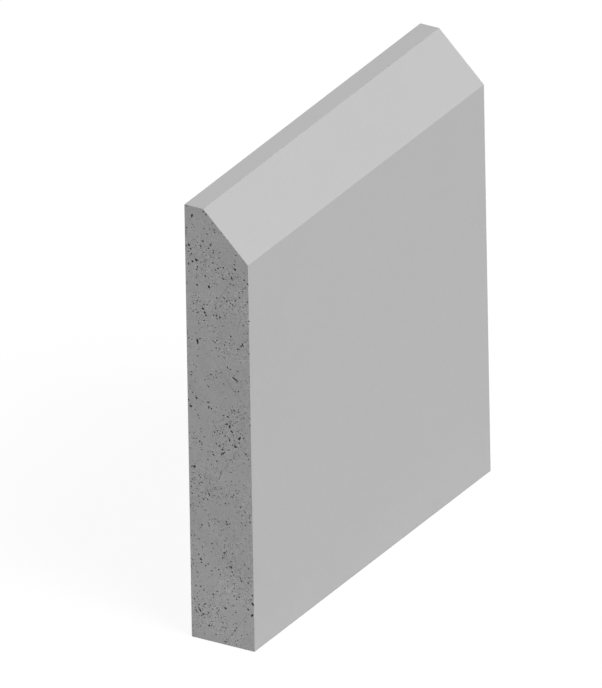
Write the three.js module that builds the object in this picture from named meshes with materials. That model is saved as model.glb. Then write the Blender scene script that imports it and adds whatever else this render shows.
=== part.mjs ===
// A straight kerb stone of cast concrete: one block, with one long top edge splayed off.
// Lengths are in millimetres. X runs along the kerb, the splayed front looks to -Y and Z is up.
// The origin is the middle of the underside.

import * as THREE from "three";

// Driving dimensions
const LENGTH = 500; // end to end, along the kerb
const HEIGHT = 520; // underside to top
const THICKNESS = 79; // front face to back face
const TOP_WIDTH = 24; // the level strip that the splay leaves along the top
const SPLAY_DROP = 55; // how far the splay comes down the front
const LONG_ARRIS_RADIUS = 1; // the edges that run along the kerb
const END_ARRIS_RADIUS = 0.5; // the edges around each end
const ARRIS_STEPS = 4; // flat steps around each rounded edge

const CONCRETE = { color: 0xbcbcbc, roughness: 0.9, metalness: 0 };

const QUARTER_TURN = Math.PI / 2;

// The section's corners, anticlockwise, across the kerb and up it.
function sectionCorners() {
  const front = -THICKNESS / 2;
  const back = THICKNESS / 2;
  return [
    new THREE.Vector2(front, 0),
    new THREE.Vector2(back, 0),
    new THREE.Vector2(back, HEIGHT),
    new THREE.Vector2(back - TOP_WIDTH, HEIGHT),
    new THREE.Vector2(front, HEIGHT - SPLAY_DROP),
  ];
}

// The direction out of the section, square to the side that runs from one corner to the next.
function outwardNormal(from, to) {
  const along = to.clone().sub(from).normalize();
  return new THREE.Vector2(along.y, -along.x);
}

// Runs the outline up to a corner and round it, on an arc that touches both sides.
function roundCorner(outline, before, corner, after, radius) {
  const normalIn = outwardNormal(before, corner);
  const normalOut = outwardNormal(corner, after);
  const bisector = normalIn.clone().add(normalOut).normalize();
  const reach = radius / bisector.dot(normalIn);
  const centre = corner.clone().addScaledVector(bisector, -reach);
  outline.absarc(centre.x, centre.y, radius, normalIn.angle(), normalOut.angle(), false);
}

function kerbSection() {
  const corners = sectionCorners();
  const outline = new THREE.Shape();
  corners.forEach((corner, i) => {
    const before = corners[(i + corners.length - 1) % corners.length];
    const after = corners[(i + 1) % corners.length];
    roundCorner(outline, before, corner, after, LONG_ARRIS_RADIUS);
  });
  outline.closePath();
  return outline;
}

// The section is pushed along the kerb, and each end face is drawn in by its rounded edge.
function makeKerbStone() {
  const geometry = new THREE.ExtrudeGeometry(kerbSection(), {
    depth: LENGTH - 2 * END_ARRIS_RADIUS,
    curveSegments: ARRIS_STEPS / 2, // an arc takes two steps for each of these
    bevelThickness: END_ARRIS_RADIUS,
    bevelSize: END_ARRIS_RADIUS,
    bevelOffset: -END_ARRIS_RADIUS,
    bevelSegments: ARRIS_STEPS,
  });
  const mesh = new THREE.Mesh(geometry, new THREE.MeshStandardMaterial(CONCRETE));
  mesh.name = "kerb_stone";
  mesh.rotation.set(QUARTER_TURN, QUARTER_TURN, 0);
  mesh.position.x = END_ARRIS_RADIUS - LENGTH / 2;
  return mesh;
}

const kerb = new THREE.Group();
kerb.add(makeKerbStone());

export default kerb;
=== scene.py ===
"""The looks of a kerb stone of cast concrete.

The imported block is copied, air holes, pits and hairlines are carved into its two ends, and every
surface gets its finish. Lengths are in metres, in the block's own frame: X runs along the kerb, the
splayed front looks to -Y, Z is up, and the block stands on Z = 0. The near end looks to -X.
"""
import math

import bmesh
import bpy
from mathutils import Matrix, Quaternion, Vector


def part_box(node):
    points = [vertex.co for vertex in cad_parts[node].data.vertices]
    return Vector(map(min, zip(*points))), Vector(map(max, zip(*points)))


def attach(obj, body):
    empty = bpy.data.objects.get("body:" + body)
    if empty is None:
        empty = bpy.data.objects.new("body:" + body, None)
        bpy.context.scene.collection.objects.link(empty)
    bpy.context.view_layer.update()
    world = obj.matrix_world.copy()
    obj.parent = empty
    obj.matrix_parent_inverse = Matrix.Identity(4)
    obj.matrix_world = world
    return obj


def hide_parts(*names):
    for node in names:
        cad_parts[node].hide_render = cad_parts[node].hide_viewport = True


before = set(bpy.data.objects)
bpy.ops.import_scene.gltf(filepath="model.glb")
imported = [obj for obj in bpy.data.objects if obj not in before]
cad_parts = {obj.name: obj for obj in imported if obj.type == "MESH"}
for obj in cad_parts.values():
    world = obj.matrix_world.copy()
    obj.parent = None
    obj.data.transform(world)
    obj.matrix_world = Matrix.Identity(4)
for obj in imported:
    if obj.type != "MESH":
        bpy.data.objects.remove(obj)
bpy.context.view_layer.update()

NODE = "kerb_stone"
LOW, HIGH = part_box(NODE)
MM = 0.001
NEAR_END = Vector((-1, 0, 0))
FAR_END = Vector((1, 0, 0))

# View
VIEW_AZIMUTH = math.radians(-59.0)
VIEW_ELEVATION = math.radians(26.4)
VIEW_ROLL = math.radians(-1.0)
VIEW_HEIGHT = 0.741  # what the view takes in, from its bottom edge to its top edge
BLOCK_RIGHT = 0.0393  # how far the block's middle lies right of the view's middle
BLOCK_UP = 0.0069
CAMERA_DISTANCE = 3.0

# Light
SKY_LEVEL = 0.324  # white is 1
KEY_STRENGTH = 2.417
KEY_SPREAD = math.radians(30)
KEY_AZIMUTH = math.radians(-12.5)
KEY_ELEVATION = math.radians(48.5)
FILL_STRENGTH = 0.35
FILL_SPREAD = math.radians(16)
FILL_AZIMUTH = math.radians(135)
FILL_ELEVATION = math.radians(8)
FLOOR_SIZE = 12.0
FLOOR_GREY = 0.55  # as the block sees it
FLOOR_WHITE = 0.92  # how brightly the floor glows where the camera sees it
FLOOR_SHADOW_DEPTH = 0.1  # what the block's shadow can take from that

# The finishes: a grey is the share of the light that it sends back, and a pair of numbers is a range
CONCRETE_GREY = (0.5, 0.5, 0.5)
# painted shade: the dark grey painted into the deep insides of holes and into the pinholes
HOLE_SHADE_GREY = (0.09, 0.09, 0.09)
SHEEN_LEVEL = 0.3  # of the faint reflections, where 0.5 is usual
MOULDED_ROUGHNESS = (0.82, 0.92)
OPEN_ROUGHNESS = (0.86, 0.96)
LINING_ROUGHNESS = (0.88, 0.98)
SHADED_DEPTH = (0.02, 0.45)  # where a hole's lining starts and stops being painted darker with shade, in hole widths
OPEN_TEXTURE = (0.62, 1.6)  # how strongly the paste's texture shows, from dense to crowded
PAINTED_LIGHT_FADE = (40 * MM, 120 * MM)  # the heights between which the painted light on the ends fades out: the ends are painted paler near the bottom
CELL_STRAY = 0.5 * MM  # how far the edges of grains and pinholes stray, and over what distance

# Holes too fine to carve: dark spots of painted shade in the paste
PINHOLE_SPACING = 2.2 * MM
PINHOLE_LEAST_REACH = 0.07  # as a share of the spacing
PINHOLE_EXTRA_REACH = 0.4
PINHOLE_CROWDING = (0.6, 1.2)  # times the reach, from dense to crowded
PINHOLE_CORE = 0.3  # the share of the reach that is fully dark
# how strongly the pinholes are painted with shade
PINHOLE_DARKNESS = 0.8

# The clusters in which the holes lie, and in which the paste between them is more open
CLUSTER_SIZE = 34 * MM
CLUSTER_SHIFT = (133.4, 0.0, 0.7)  # picks the part of the pattern that the block lies in
CLUSTER_EDGE = 0.15  # how softly the clusters end: 0 is sharp

# What all scattered holes share: the share of them that stays where the paste is dense, and how long
# the longest is, in widths
SCATTERED = {"Least crowding": 0.22, "Most stretch": 1.5}

# Air holes scattered over both ends, in passes that may run into each other. The density is how many
# places each pass tries on a square metre: those too close to another, and most outside the clusters,
# get no hole.
AIR_HOLES = {
    **SCATTERED,
    "Least width": 0.7 * MM,
    "Mean extra width": 0.7 * MM,
    "Most width": 2.5 * MM,
    "Spacing": 3.4 * MM,
    "Density": 11500.0,
}
NEAR_HOLE_SEEDS = range(10, 80, 10)  # one for each pass
FAR_HOLE_SEEDS = range(10, 60, 10)
STRETCH_DRAW, LEAN_DRAW, CLUSTER_DRAW = range(1, 4)  # what each draw after the first adds to the seed

# The few large pits of the far end
FAR_PITS = {
    **SCATTERED,
    "Least width": 1.8 * MM,
    "Mean extra width": 0.5 * MM,
    "Most width": 3.2 * MM,
    "Spacing": 14 * MM,
    "Density": 2200.0,
    "Facing": FAR_END,
    "Seed": 5,
}

# The large pits of the near end: from the back face, up, and width, in millimetres
ROUND_PITS = [
    (14, 456, 3.8), (9, 453, 3.1), (4, 449, 2.6), (41, 452, 2.8), (32, 478, 2.9), (5, 472, 3.0),
    (7, 468, 2.9), (8, 462, 2.6), (23, 395, 3.5), (25, 392, 2.6), (29, 427, 3.8), (14, 426, 2.8),
    (62, 456, 3.4), (52, 264, 3.4), (39, 238, 2.6), (35, 240, 2.2), (13, 96, 3.7), (51, 95, 3.1),
    (52, 90, 2.3), (11, 289, 3.3), (43, 44, 3.5),
]
# The same for long pits: from the back face, up, length and width, in millimetres, and then how far
# the pit leans from upright towards the back, in degrees
LONG_PITS = [
    (13.5, 358, 8, 3.4, 0), (60, 323, 10, 3, 60), (9, 508, 6, 2.9, -25), (64, 253, 6, 3.2, -35),
    (70, 367, 6, 2.6, 15), (77, 57, 4.8, 3.3, 0), (43, 230, 9, 1.8, -50), (11, 34, 5.5, 3, 35),
    (7, 206, 4.5, 3.2, -50), (3.5, 278, 4.4, 2.9, 90), (58.5, 242, 3.9, 3.3, 90), (54.5, 259, 4.5, 2.9, 65),
    (76, 43, 5.5, 2.7, -40), (73.5, 446, 3, 2.2, 0), (58, 444, 3, 2.4, 90), (21, 399, 4.2, 3, 90),
]

# The shape of a hole: a ball that dips into the face, then is roughened
BALL_RISE = 0.35  # how far the ball's middle lies above the face, as a share of its radius
HOLE_DEPTH = 0.6  # as a share of the hole's width
HOLE_ROUGHNESS = 0.25  # as a share of the hole's width
LUMPS_ACROSS = 1.3  # how many lumps there are across a hole
BALL_SIDES = 8  # the faces around a scattered hole's ball
BALL_RINGS = 5  # and from its one pole to the other
PIT_BALL_STEPS = 3  # how finely a large pit's ball is divided
WIDTH_NAME = "hole_width"  # the attribute that tells a lining how wide its hole is

# Hairlines in the near end, each from one place to another: from the back face and up, in millimetres
HAIRLINES = [
    ((65, 452), (36, 407)), ((32, 345), (63, 301)), ((50, 321), (67, 298)),
    ((64, 243), (36, 197)), ((28, 126), (69, 77)), ((70, 43), (42, 1)), ((70, 403), (64, 383)),
]
HAIRLINE_SHAPE = {
    "Width": 0.38 * MM,
    "Step": 0.7 * MM,  # between the places where it can bend
    "Wander": 2 * MM,  # how widely it wanders
    "Wander size": 9 * MM,  # over what distance it wanders
    "Taper": 0.1,  # how far from a tip it thins out, as a share of its length
}
HAIRLINE_THINNEST = 0.75  # as a share of the width
HAIRLINE_WIDEST = 1.25
HAIRLINE_LUMPS = 0.4  # how long its thick and thin parts are, as a share of the wander size
HAIRLINE_SIDES = 4
MIDDLE_OF_NOISE = (0.3, 0.7)  # where most of a noise from 0 to 1 lies

# The map that the finish can be baked on, which is 1 wide and 1 high, with a panel for each flat side
FLAT_SIDES = 7  # the front, splay, top, back, underside and two ends
PANEL_GAP = 0.006
LONG_SIDE_MAP_SCALE = 0.97  # map for each metre
END_MAP_SCALE = 1.88

SHARP_ANGLE = math.radians(50)  # an edge that turns more than this isn't smoothed
FLAT_ANGLE = math.radians(0.5)  # faces that meet at less than this are one flat side
WELD_DISTANCE = 0.001 * MM

# A face looks a certain way if its normal goes at least this far along it, out of 1
MOSTLY = 0.9
EXACTLY = 0.9999

# The order of the block's materials
LONG_SIDE_INDEX, END_INDEX, LINING_INDEX = range(3)


class Wire:
    """One output of a node. Arithmetic on it adds Math nodes to its tree."""

    def __init__(self, tree, socket):
        self.tree = tree
        self.socket = socket

    def __add__(self, other):
        return self.tree.math("ADD", self, other)

    def __sub__(self, other):
        return self.tree.math("SUBTRACT", self, other)

    def __rsub__(self, other):
        return self.tree.math("SUBTRACT", other, self)

    def __mul__(self, other):
        return self.tree.math("MULTIPLY", self, other)

    def __truediv__(self, other):
        return self.tree.math("DIVIDE", self, other)

    def __rtruediv__(self, other):
        return self.tree.math("DIVIDE", other, self)

    __radd__ = __add__
    __rmul__ = __mul__

    def __abs__(self):
        return self.tree.math("ABSOLUTE", self)

    def red(self):
        """How red a colour is, from 0 to 1."""
        return self.tree.add("ShaderNodeSeparateColor", values=[self], out="Red")

    def between(self, low, high):
        """Goes from low to high while this goes from 0 to 1."""
        return low + (high - low) * self

    def along(self, axis):
        """A vector's X, Y or Z."""
        return self.tree.add("ShaderNodeSeparateXYZ", values=[self], out=axis)

    def other(self, name):
        """Another output of the same node."""
        return Wire(self.tree, live_socket(self.socket.node.outputs, name))


def live_socket(sockets, name):
    """The socket with that name, or in that place, that the node's settings leave in use."""
    if isinstance(name, int):
        return sockets[name]
    return next(s for s in sockets if s.name == name and s.enabled)


class Tree:
    """A node tree in the making."""

    def __init__(self, nodes):
        self.nodes = nodes

    def add(self, kind, settings=None, values=(), out=0):
        """Adds a node, with its settings first and then its sockets, and gives one output."""
        node = self.nodes.nodes.new(kind)
        for name, setting in (settings or {}).items():
            setattr(node, name, setting)
        named = values.items() if isinstance(values, dict) else enumerate(values)
        for name, value in named:
            socket = live_socket(node.inputs, name)
            if isinstance(value, Wire):
                self.nodes.links.new(value.socket, socket)
            else:
                socket.default_value = value
        if not node.outputs:
            return None
        return Wire(self, live_socket(node.outputs, out))

    def math(self, operation, *values):
        return self.add("ShaderNodeMath", {"operation": operation}, values)

    def scaled(self, vector, factor):
        """A vector or a colour times a number."""
        values = {0: vector, "Scale": factor}
        return self.add("ShaderNodeVectorMath", {"operation": "SCALE"}, values)

    def noise(self, place, size, detail=2.0, out="Fac"):
        """Noise with lumps about that size across."""
        values = {"Vector": place, "Scale": 1 / size, "Detail": detail}
        return self.add("ShaderNodeTexNoise", values=values, out=out)

    def drift(self, place, size, detail=1.0):
        """A vector that drifts about zero, by up to a half each way, over about that distance."""
        lumps = self.noise(place, size, detail, "Color")
        return self.add("ShaderNodeVectorMath", {"operation": "SUBTRACT"}, [lumps, (0.5, 0.5, 0.5)])

    def shifted(self, vector, offset):
        return self.add("ShaderNodeVectorMath", {"operation": "ADD"}, [vector, offset])

    def cells(self, place, size):
        """A cell about that size across around each of many scattered points, in its own colour."""
        return self.add("ShaderNodeTexVoronoi", values={"Vector": place, "Scale": 1 / size}, out="Color")

    def ramp(self, value, start, end, low=0.0, high=1.0):
        """Goes smoothly from low to high while the value goes from start to end."""
        values = {"Value": value, "From Min": start, "From Max": end, "To Min": low, "To Max": high}
        return self.add("ShaderNodeMapRange", {"interpolation_type": "SMOOTHSTEP"}, values)

    def mixed(self, factor, colour, other):
        """One colour at factor 0 and the other at factor 1."""
        return self.add(
            "ShaderNodeMix",
            {"data_type": "RGBA"},
            {"Factor": factor, "A": colour, "B": other},
            out="Result",
        )


def crowding_of_holes(tree, place, least=0.0):
    """Goes from the least, where the paste is dense, to 1, where the holes crowd together."""
    lumps = tree.noise(tree.shifted(place, CLUSTER_SHIFT), CLUSTER_SIZE)
    return tree.ramp(lumps, 0.5 - CLUSTER_EDGE, 0.5 + CLUSTER_EDGE, least, 1.0)


# Materials


def empty_tree(owner):
    """The tree of a material or a world, with nothing in it."""
    owner.use_nodes = True
    owner.node_tree.nodes.clear()
    return Tree(owner.node_tree)


def new_material(name):
    """A material, its empty tree, and the place that its patterns are laid on."""
    material = bpy.data.materials.new(name)
    tree = empty_tree(material)
    return material, tree, tree.add("ShaderNodeTexCoord", out="Object")


def concrete_colour(tree, patterns):
    """The concrete's grey, varied by each (pattern, strength). A pattern at 0.5 changes nothing."""
    tone = 1.0
    for pattern, strength in patterns:
        tone = tone + strength * (pattern - 0.5)
    return tree.scaled(CONCRETE_GREY, tone)


def finish_material(tree, colour, roughness, heights):
    """Ends a concrete's tree. Heights are (height from 0 to 1, its real size) from coarse to fine."""
    normal = None
    for height, size in heights:
        values = {"Height": height, "Distance": size}
        if normal is not None:
            values["Normal"] = normal
        normal = tree.add("ShaderNodeBump", values=values)
    surface = tree.add(
        "ShaderNodeBsdfPrincipled",
        values={
            "Base Color": colour,
            "Roughness": roughness,
            "Specular IOR Level": SHEEN_LEVEL,
            "Normal": normal,
        },
    )
    tree.add("ShaderNodeOutputMaterial", values={"Surface": surface})


def form_faced_concrete():
    """The long faces, smooth from the mould: an even grey with faint clouds and a fine grain."""
    material, tree, place = new_material("form_faced_concrete")
    clouds = tree.noise(place, 70 * MM, detail=3.0)
    mottle = tree.noise(place, 9 * MM, detail=3.0)
    grain = tree.noise(place, 0.4 * MM, detail=4.0)
    colour = concrete_colour(tree, [(clouds, 0.035), (mottle, 0.025), (grain, 0.5)])
    relief = [(clouds, 0.1 * MM), (mottle, 0.05 * MM), (grain, 0.03 * MM)]
    finish_material(tree, colour, mottle.between(*MOULDED_ROUGHNESS), relief)
    return material


def open_concrete():
    """The ends, where the face is open: cloudy, with sand grains and pinholes in the paste, which are
    painted as dark spots of shade.
    """
    material, tree, place = new_material("open_concrete")
    uneven = tree.shifted(place, tree.scaled(tree.drift(place, CELL_STRAY), CELL_STRAY))
    clouds = tree.noise(place, 90 * MM)
    patches = tree.noise(place, 22 * MM)
    paste = tree.noise(place, 5 * MM, detail=3.0)
    sand = tree.noise(place, 1.0 * MM, detail=4.0)
    grains = tree.cells(uneven, 0.7 * MM).red()
    # painted light: the ends are painted paler near the bottom, fading out higher up, as a shading trend
    painted_foot_light = tree.ramp(place.along("Z"), *PAINTED_LIGHT_FADE, 1.0, 0.5)
    crowding = crowding_of_holes(tree, place)
    pinholes = pinholes_in_the_paste(tree, uneven, crowding)
    texture = crowding.between(*OPEN_TEXTURE)
    tone = concrete_colour(
        tree,
        [
            (clouds, 0.14),
            (patches, 0.18),
            (painted_foot_light, 0.1),
            (paste, 0.2 * texture),
            (sand, 0.3 * texture),
            (grains, 0.34 * texture),
        ],
    )
    # painted shade: the pinholes are painted dark grey, as the shade inside a hole would be
    colour = tree.mixed(PINHOLE_DARKNESS * pinholes, tone, (*HOLE_SHADE_GREY, 1))
    relief = [(paste, 0.15 * MM), (sand, 0.12 * MM), (grains, 0.04 * MM), (1 - pinholes, 0.15 * MM)]
    finish_material(tree, colour, sand.between(*OPEN_ROUGHNESS), relief)
    return material


def pinholes_in_the_paste(tree, place, crowding):
    """1 in the many holes too fine to carve, and 0 around them: where the pinholes' painted shade goes."""
    cells = tree.cells(place, PINHOLE_SPACING)
    chance = cells.red()
    reach = PINHOLE_LEAST_REACH + PINHOLE_EXTRA_REACH * chance * chance
    crowded_reach = reach * crowding.between(*PINHOLE_CROWDING)
    return tree.ramp(cells.other("Distance") / crowded_reach, PINHOLE_CORE, 1.0, 1.0, 0.0)


def hole_lining():
    """The inside of a hole, with painted shade: darker the deeper it goes."""
    material, tree, place = new_material("hole_lining")
    depth = HIGH.x - abs(place.along("X"))
    width = tree.add("ShaderNodeAttribute", {"attribute_name": WIDTH_NAME}, out="Fac")
    # painted shade: the lining is painted darker with depth, measured in hole widths
    dark = tree.ramp(depth / width, *SHADED_DEPTH)
    sand = tree.noise(place, 0.8 * MM)
    colour = tree.mixed(dark, (*CONCRETE_GREY, 1), (*HOLE_SHADE_GREY, 1))
    finish_material(tree, colour, sand.between(*LINING_ROUGHNESS), [(sand, 0.1 * MM)])
    return material


# Geometry Nodes


def new_geometry_tree(name, inputs):
    """A modifier's tree with a geometry in and out and named inputs, and a wire for each input."""
    group = bpy.data.node_groups.new(name, "GeometryNodeTree")
    group.interface.new_socket("Geometry", in_out="OUTPUT", socket_type="NodeSocketGeometry")
    group.interface.new_socket("Geometry", in_out="INPUT", socket_type="NodeSocketGeometry")
    for label, kind in inputs.items():
        group.interface.new_socket(label, in_out="INPUT", socket_type=f"NodeSocket{kind}")
    tree = Tree(group)
    start = tree.add("NodeGroupInput")
    return tree, {label: start.other(label) for label in ["Geometry", *inputs]}


def close_tree(tree, geometry, material):
    """Ends a modifier's tree with real faces in the material, and gives its node group."""
    realized = tree.add("GeometryNodeRealizeInstances", values={"Geometry": geometry})
    finished = tree.add(
        "GeometryNodeSetMaterial", values={"Geometry": realized, "Material": material}
    )
    tree.add("NodeGroupOutput", values={"Geometry": finished})
    return tree.nodes


def attribute(tree, name):
    return tree.add("GeometryNodeInputNamedAttribute", {"data_type": "FLOAT"}, {"Name": name})


def random_value(tree, low, high, seed):
    values = {"Min": low, "Max": high, "Seed": seed}
    return tree.add("FunctionNodeRandomValue", {"data_type": "FLOAT"}, values, out="Value")


def facing_out_of_the_end(tree, lean):
    """A turn that takes Z out of the end that a point lies on, and X from upright by the lean."""
    place = tree.add("GeometryNodeInputPosition")
    outwards = tree.add("ShaderNodeCombineXYZ", values={"X": place.along("X")})
    faced = tree.add("FunctionNodeAlignRotationToVector", {"axis": "Z"}, {"Vector": outwards})
    upright = tree.add(
        "FunctionNodeAlignRotationToVector",
        {"axis": "X", "pivot_axis": "Z"},
        {"Rotation": faced, "Vector": (0.0, 0.0, 1.0)},
    )
    spin = tree.add(
        "FunctionNodeAxisAngleToRotation", values={"Axis": (0.0, 0.0, 1.0), "Angle": lean}
    )
    return tree.add(
        "FunctionNodeRotateRotation",
        {"rotation_space": "LOCAL"},
        {"Rotation": upright, "Rotate By": spin},
    )


def hole_cutters(tree, points, ball, width, stretch, lean):
    """One roughened ball on each point, which dips into the end that the point lies on.

    The ball's middle is outside, and the end's face cuts it where it is as wide as the hole.
    """
    raised = tree.add(
        "GeometryNodeTransform", values={"Geometry": ball, "Translation": (0.0, 0.0, BALL_RISE)}
    )
    radius = width * (0.5 / math.sqrt(1 - BALL_RISE**2))
    depth_radius = width * (HOLE_DEPTH / (1 - BALL_RISE))
    balls = tree.add(
        "GeometryNodeInstanceOnPoints",
        values={
            "Points": with_width(tree, points, width, "POINT"),
            "Instance": raised,
            "Rotation": facing_out_of_the_end(tree, lean),
            "Scale": tree.add("ShaderNodeCombineXYZ", values=[radius * stretch, radius, depth_radius]),
        },
    )
    realized = tree.add("GeometryNodeRealizeInstances", values={"Geometry": balls})
    return with_width(tree, roughened(tree, realized), attribute(tree, WIDTH_NAME), "FACE")


def with_width(tree, geometry, width, domain):
    """The geometry with the hole's width on its points or its faces, where the lining reads it."""
    values = {"Geometry": geometry, "Name": WIDTH_NAME, "Value": width}
    return tree.add("GeometryNodeStoreNamedAttribute", {"data_type": "FLOAT", "domain": domain}, values)


def roughened(tree, geometry):
    """Pushes each ball's surface about by a share of its width, so that no two are alike."""
    width = attribute(tree, WIDTH_NAME)
    lumps = tree.drift(tree.add("GeometryNodeInputPosition"), width / LUMPS_ACROSS)
    offset = tree.scaled(lumps, width * (2 * HOLE_ROUGHNESS))
    return tree.add("GeometryNodeSetPosition", values={"Geometry": geometry, "Offset": offset})


def end_face(tree, geometry, facing):
    """The flat face of the block that looks that way."""
    normal = tree.add("GeometryNodeInputNormal")
    along = tree.add("ShaderNodeVectorMath", {"operation": "DOT_PRODUCT"}, [normal, facing], out="Value")
    values = {"Geometry": geometry, "Selection": tree.math("GREATER_THAN", along, EXACTLY)}
    return tree.add("GeometryNodeSeparateGeometry", {"domain": "FACE"}, values)


def clustered_points(tree, inputs):
    """Points strewn over one end, of which few stay where the paste is dense."""
    points = tree.add(
        "GeometryNodeDistributePointsOnFaces",
        {"distribute_method": "POISSON"},
        {
            "Mesh": end_face(tree, inputs["Geometry"], inputs["Facing"]),
            "Distance Min": inputs["Spacing"],
            "Density Max": inputs["Density"],
            "Seed": inputs["Seed"],
        },
    )
    place = tree.add("GeometryNodeInputPosition")
    crowding = crowding_of_holes(tree, place, inputs["Least crowding"])
    luck = random_value(tree, 0.0, 1.0, inputs["Seed"] + CLUSTER_DRAW)
    return tree.add(
        "GeometryNodeSeparateGeometry",
        {"domain": "POINT"},
        {"Geometry": points, "Selection": tree.math("LESS_THAN", luck, crowding)},
    )


def hole_width(tree, inputs):
    """A random width for each hole: the wider, the rarer, and none past the most."""
    most_rarity = (inputs["Most width"] - inputs["Least width"]) / inputs["Mean extra width"]
    chance = random_value(tree, tree.math("EXPONENT", 0 - most_rarity), 1.0, inputs["Seed"])
    rarity = 0 - tree.math("LOGARITHM", chance, math.e)
    return inputs["Least width"] + inputs["Mean extra width"] * rarity


def scattered_holes_tree(material):
    """Holes strewn over one end in clusters: many small ones, and fewer the larger they are."""
    tree, inputs = new_geometry_tree(
        "scattered_air_holes",
        {
            "Facing": "Vector",
            "Least width": "Float",
            "Mean extra width": "Float",
            "Most width": "Float",
            "Spacing": "Float",
            "Density": "Float",
            "Least crowding": "Float",
            "Most stretch": "Float",
            "Seed": "Int",
        },
    )
    points = clustered_points(tree, inputs)
    width = hole_width(tree, inputs)
    stretch = random_value(tree, 1.0, inputs["Most stretch"], inputs["Seed"] + STRETCH_DRAW)
    lean = random_value(tree, 0.0, math.pi, inputs["Seed"] + LEAN_DRAW)
    holes = hole_cutters(tree, points, blunt_ball(tree), width, stretch, lean)
    return close_tree(tree, holes, material)


def blunt_ball(tree):
    """A ball of few faces, turned by half a face so that one made longer has blunt ends."""
    values = {"Segments": BALL_SIDES, "Rings": BALL_RINGS, "Radius": 1.0}
    ball = tree.add("GeometryNodeMeshUVSphere", values=values)
    half_face = (0.0, 0.0, math.pi / BALL_SIDES)
    turned = tree.add("GeometryNodeTransform", values={"Geometry": ball, "Rotation": half_face})
    return tree.add("GeometryNodeTriangulate", values=[turned])


def placed_pits_tree(material):
    """A pit on each point of the mesh, with the width, stretch and lean that the point carries."""
    tree, inputs = new_geometry_tree("placed_pits", {"Steps": "Int"})
    values = {"Radius": 1.0, "Subdivisions": inputs["Steps"]}
    balls = hole_cutters(
        tree,
        inputs["Geometry"],
        tree.add("GeometryNodeMeshIcoSphere", values=values),
        attribute(tree, "width"),
        attribute(tree, "stretch"),
        attribute(tree, "lean"),
    )
    return close_tree(tree, balls, material)


def hairline_paths(tree, inputs):
    """Each edge of the mesh as a line that wanders in the face of the near end."""
    line = tree.add("GeometryNodeMeshToCurve", values=[inputs["Geometry"]])
    stepped = tree.add(
        "GeometryNodeResampleCurve", {"mode": "LENGTH"}, {"Curve": line, "Length": inputs["Step"]}
    )
    place = tree.add("GeometryNodeInputPosition")
    bend = tree.drift(place, inputs["Wander size"], detail=3.0)
    in_the_face = tree.add("ShaderNodeVectorMath", {"operation": "MULTIPLY"}, [bend, (0.0, 1.0, 1.0)])
    offset = tree.scaled(in_the_face, inputs["Wander"])
    return tree.add("GeometryNodeSetPosition", values={"Geometry": stepped, "Offset": offset})


def hairline_thickness(tree, inputs):
    """How thick a hairline is along its way, as a share of its width: uneven, and thin at its tips."""
    along = tree.add("GeometryNodeSplineParameter", out="Factor")
    from_tip = tree.math("MINIMUM", along, 1 - along)
    taper = tree.ramp(from_tip, 0.0, inputs["Taper"], HAIRLINE_THINNEST, 1.0)
    place = tree.add("GeometryNodeInputPosition")
    lumps = tree.noise(place, HAIRLINE_LUMPS * inputs["Wander size"])
    return taper * tree.ramp(lumps, *MIDDLE_OF_NOISE, HAIRLINE_THINNEST, HAIRLINE_WIDEST)


def hairlines_tree(material):
    """A thin uneven rod along each edge of the mesh, which cuts a groove as deep as half its width."""
    tree, inputs = new_geometry_tree("hairlines", dict.fromkeys(HAIRLINE_SHAPE, "Float"))
    section = tree.add(
        "GeometryNodeCurvePrimitiveCircle",
        values={"Resolution": HAIRLINE_SIDES, "Radius": inputs["Width"] * 0.5},
    )
    rods = tree.add(
        "GeometryNodeCurveToMesh",
        values={
            "Curve": hairline_paths(tree, inputs),
            "Profile Curve": section,
            "Scale": hairline_thickness(tree, inputs),
            "Fill Caps": True,
        },
    )
    return close_tree(tree, with_width(tree, rods, inputs["Width"], "FACE"), material)


def new_object(name, data):
    """An object at the origin, in the scene."""
    thing = bpy.data.objects.new(name, data)
    bpy.context.scene.collection.objects.link(thing)
    return thing


def run_tree(mesh, group, values):
    """The mesh that a Geometry Nodes group makes of another mesh."""
    source = new_object(group.name, mesh)
    modifier = source.modifiers.new(group.name, "NODES")
    modifier.node_group = group
    for item in group.interface.items_tree:
        if item.in_out == "INPUT" and item.name in values:
            modifier[item.identifier] = values[item.name]
    made = evaluated_mesh(source)
    bpy.data.objects.remove(source)
    return made


def evaluated_mesh(source):
    """The mesh that an object's modifiers make of it."""
    graph = bpy.context.evaluated_depsgraph_get()
    return bpy.data.meshes.new_from_object(source.evaluated_get(graph))


# The block


def block_mesh(materials):
    """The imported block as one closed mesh, with its ends in their own material."""
    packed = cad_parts[NODE].data
    mesh = bpy.data.meshes.new("whole_block")
    places = [vertex.co for vertex in packed.vertices]
    mesh.from_pydata(places, [], [list(face.vertices) for face in packed.polygons])
    shape = bmesh.new()
    shape.from_mesh(mesh)
    bmesh.ops.remove_doubles(shape, verts=shape.verts, dist=WELD_DISTANCE)
    bmesh.ops.dissolve_limit(shape, angle_limit=FLAT_ANGLE, verts=shape.verts, edges=shape.edges)
    shape.to_mesh(mesh)
    shape.free()
    for material in materials:
        mesh.materials.append(material)
    for face in mesh.polygons:
        face.material_index = END_INDEX if abs(face.normal.x) > MOSTLY else LONG_SIDE_INDEX
    return mesh


def on_near_end(from_back, up):
    """A place on the near end's face."""
    return Vector((LOW.x, HIGH.y - from_back * MM, LOW.z + up * MM))


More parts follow.
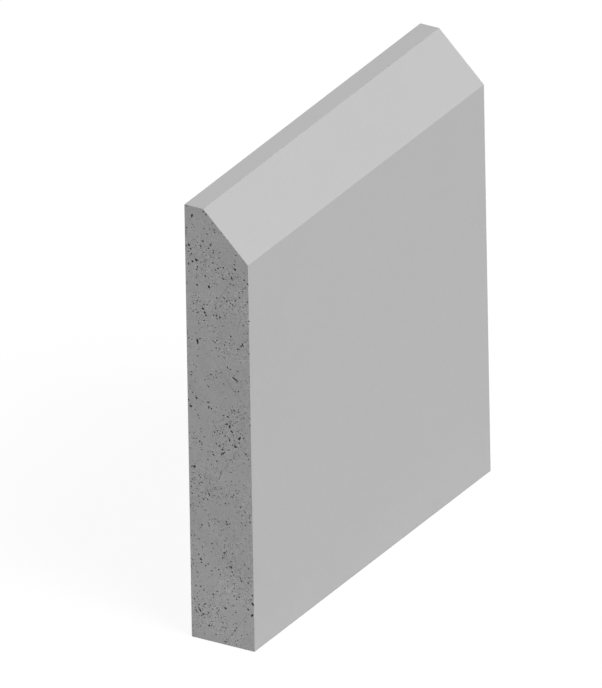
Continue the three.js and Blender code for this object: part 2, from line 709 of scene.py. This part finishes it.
def pit_points():
    """A loose point for each large pit of the near end, which carries the pit's sizes."""
    pits = [(back, up, width, width, 0) for back, up, width in ROUND_PITS] + LONG_PITS
    mesh = bpy.data.meshes.new("pit_points")
    mesh.from_pydata([on_near_end(back, up) for back, up, *_ in pits], [], [])
    carried = {
        "width": [width * MM for *_, width, _ in pits],
        "stretch": [length / width for _, _, length, width, _ in pits],
        "lean": [math.radians(lean) for *_, lean in pits],
    }
    for name, numbers in carried.items():
        mesh.attributes.new(name, "FLOAT", "POINT").data.foreach_set("value", numbers)
    return mesh


def hairline_edges():
    points = [on_near_end(*place) for line in HAIRLINES for place in line]
    mesh = bpy.data.meshes.new("hairline_edges")
    mesh.from_pydata(points, [(i, i + 1) for i in range(0, len(points), 2)], [])
    return mesh


def end_cutters(block, lining):
    """Meshes to take out of the block one after the other."""
    scattered = scattered_holes_tree(lining)
    for facing, seeds in ((NEAR_END, NEAR_HOLE_SEEDS), (FAR_END, FAR_HOLE_SEEDS)):
        for seed in seeds:
            yield run_tree(block, scattered, {**AIR_HOLES, "Facing": facing, "Seed": seed})
    yield run_tree(block, scattered, FAR_PITS)
    yield run_tree(pit_points(), placed_pits_tree(lining), {"Steps": PIT_BALL_STEPS})
    yield run_tree(hairline_edges(), hairlines_tree(lining), HAIRLINE_SHAPE)


def carve(block, shape):
    """Takes a closed shape out of the block, whose new faces keep the shape's material."""
    cutter = new_object("cutter", shape)
    cut = block.modifiers.new("cut", "BOOLEAN")
    cut.operation = "DIFFERENCE"
    cut.solver = "MANIFOLD"
    cut.object = cutter
    cut.material_mode = "TRANSFER"
    block.data = evaluated_mesh(block)
    block.modifiers.clear()
    bpy.data.objects.remove(cutter)


class Panel:
    """The part of the map that one flat side of the block is laid on."""

    def __init__(self, mesh, side):
        is_end = abs(side.normal.x) > MOSTLY
        up = Vector((0, 0, END_MAP_SCALE)) if is_end else Vector((LONG_SIDE_MAP_SCALE, 0, 0))
        self.normal = side.normal.copy()
        self.flatten = Matrix((up.cross(side.normal), up))
        spots = [self.flatten @ mesh.vertices[i].co for i in side.vertices]
        self.start = Vector([min(numbers) for numbers in zip(*spots)])
        self.width, self.height = Vector([max(numbers) for numbers in zip(*spots)]) - self.start

    def put_at(self, left, bottom):
        self.start -= Vector((left, bottom))

    def spot(self, place):
        return self.flatten @ place - self.start


def map_panels(whole):
    """A panel for each flat side of the whole block, one above the other in columns."""
    panels = []
    left = bottom = PANEL_GAP
    column_width = 0.0
    for side in sorted(whole.polygons, key=lambda face: -face.area)[:FLAT_SIDES]:
        panel = Panel(whole, side)
        if bottom + panel.height > 1:
            left += column_width + PANEL_GAP
            bottom = PANEL_GAP
            column_width = 0.0
        panel.put_at(left, bottom)
        bottom += panel.height + PANEL_GAP
        column_width = max(column_width, panel.width)
        panels.append(panel)
    return panels


def smooth_and_map(mesh, panels):
    """Smooths all but the flat sides, and lays each face on a panel: a hole's lining on its end's."""
    layer = mesh.uv_layers.new(name="OFBake")
    mesh.set_sharp_from_angle(angle=SHARP_ANGLE)
    for face in mesh.polygons:
        in_hole = face.material_index == LINING_INDEX
        looks = Vector((face.center.x, 0, 0)) if in_hole else face.normal
        panel = max(panels, key=lambda panel: panel.normal.dot(looks))
        face.use_smooth = in_hole or panel.normal.dot(looks) < EXACTLY
        for corner in face.loop_indices:
            place = mesh.vertices[mesh.loops[corner].vertex_index].co
            layer.uv[corner].vector = panel.spot(place)


def build_block():
    """The block with its ends carved, finished and mapped."""
    lining = hole_lining()
    whole = block_mesh([form_faced_concrete(), open_concrete(), lining])
    block = new_object("kerb_stone_cast", whole)
    for shape in end_cutters(whole, lining):
        carve(block, shape)
    smooth_and_map(block.data, map_panels(whole))
    return block


# The stage


def seen_directly(tree):
    """1 for what the camera, a reflection or glass sees, and 0 for light on its way to a surface."""
    path = tree.add("ShaderNodeLightPath", out="Is Camera Ray")
    return tree.math("MAXIMUM", path, path.other("Is Glossy Ray") + path.other("Is Transmission Ray"))


def pale_floor():
    """A pale matt floor, which the camera sees as white with the block's shadow on it."""
    material = bpy.data.materials.new("pale_floor")
    tree = empty_tree(material)
    plain = tree.add("ShaderNodeBsdfDiffuse", values={"Color": (FLOOR_GREY,) * 3 + (1,)})
    shaded = tree.add("ShaderNodeBsdfDiffuse", values={"Color": (FLOOR_SHADOW_DEPTH,) * 3 + (1,)})
    glow = tree.add("ShaderNodeEmission", values={"Strength": FLOOR_WHITE})
    white = tree.add("ShaderNodeAddShader", values=[shaded, glow])
    shown = tree.add("ShaderNodeMixShader", values=[seen_directly(tree), plain, white])
    tree.add("ShaderNodeOutputMaterial", values={"Surface": shown})
    return material


def build_floor():
    half = FLOOR_SIZE / 2
    corners = [(-half, -half, 0), (half, -half, 0), (half, half, 0), (-half, half, 0)]
    mesh = bpy.data.meshes.new("floor")
    mesh.from_pydata(corners, [], [(0, 1, 2, 3)])
    mesh.materials.append(pale_floor())
    new_object("floor", mesh)


def build_world():
    world = bpy.data.worlds.new("studio")
    tree = empty_tree(world)
    strength = seen_directly(tree).between(SKY_LEVEL, 1)
    sky = tree.add("ShaderNodeBackground", values={"Color": (1, 1, 1, 1), "Strength": strength})
    tree.add("ShaderNodeOutputWorld", values={"Surface": sky})
    bpy.context.scene.world = world


def way_to(azimuth, elevation):
    """The way out from the block: azimuth 0 is straight ahead of its front, and 90 degrees is +X."""
    level = math.cos(elevation)
    return Vector((level * math.sin(azimuth), -level * math.cos(azimuth), math.sin(elevation)))


def build_light(name, strength, spread, towards):
    """A broad soft light from far away."""
    lamp = bpy.data.lights.new(name, "SUN")
    lamp.energy = strength
    lamp.angle = spread
    light = new_object(name, lamp)
    light.rotation_mode = "QUATERNION"
    light.rotation_quaternion = towards.to_track_quat("Z", "Y")


def build_camera():
    lens = bpy.data.cameras.new("camera")
    lens.type = "ORTHO"
    lens.ortho_scale = VIEW_HEIGHT
    camera = new_object("camera", lens)
    towards = way_to(VIEW_AZIMUTH, VIEW_ELEVATION)
    turn = (-towards).to_track_quat("-Z", "Y") @ Quaternion((0, 0, 1), VIEW_ROLL)
    middle = (LOW + HIGH) / 2
    right = turn @ Vector((1, 0, 0))
    up = turn @ Vector((0, 1, 0))
    camera.rotation_mode = "QUATERNION"
    camera.rotation_quaternion = turn
    camera.location = middle + towards * CAMERA_DISTANCE - right * BLOCK_RIGHT - up * BLOCK_UP
    bpy.context.scene.camera = camera


bpy.context.scene.view_settings.view_transform = "Standard"
build_camera()
build_world()
build_light("key", KEY_STRENGTH, KEY_SPREAD, way_to(KEY_AZIMUTH, KEY_ELEVATION))
build_light("fill", FILL_STRENGTH, FILL_SPREAD, way_to(FILL_AZIMUTH, FILL_ELEVATION))
build_floor()
kerb = build_block()
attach(kerb, "root")
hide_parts(NODE)
